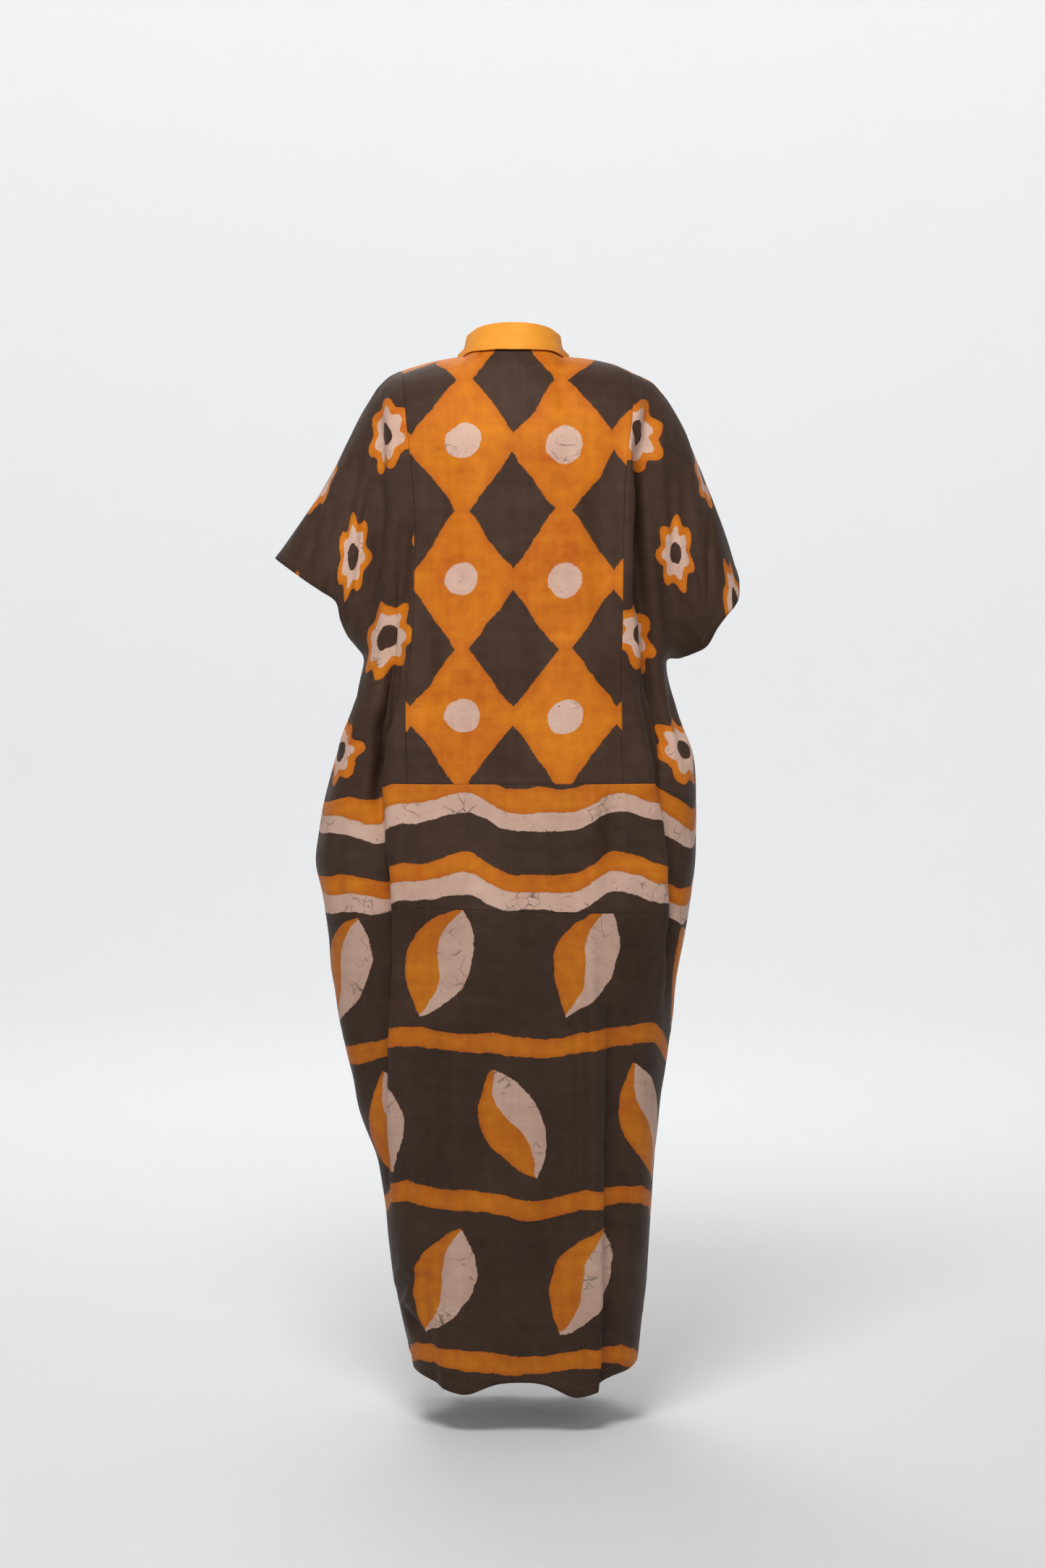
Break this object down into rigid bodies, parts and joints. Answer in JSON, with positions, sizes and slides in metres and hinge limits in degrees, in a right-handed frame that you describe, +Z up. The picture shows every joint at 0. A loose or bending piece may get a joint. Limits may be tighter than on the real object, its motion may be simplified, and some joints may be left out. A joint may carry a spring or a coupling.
{
  "type": "grand boubou robe",
  "caption": "Long wide cotton robe hanging as when worn, with loose open sleeves, a folded collar, a neck slit at the front, a waist band and an open hem.",
  "frame": {"origin": "middle of the neck opening, level with the shoulder seams", "axes": "+Z up, +Y towards the back of the robe, +X towards the wearer's left"},
  "size_m": [0.6178, 0.283, 1.4165],
  "materials": {
    "dyed_cotton": "matt wax-dyed cotton",
    "collar_cotton": "matt dyed cotton"
  },
  "bodies": {
    "root": {"back_center": "dyed_cotton", "back_wing_left": "dyed_cotton", "back_wing_right": "dyed_cotton", "back_waist": "dyed_cotton", "back_skirt": "dyed_cotton", "front_center": "dyed_cotton", "front_wing_left": "dyed_cotton", "front_wing_right": "dyed_cotton", "front_waist": "dyed_cotton", "front_skirt": "dyed_cotton", "collar": "collar_cotton"}
  },
  "joints": []
}
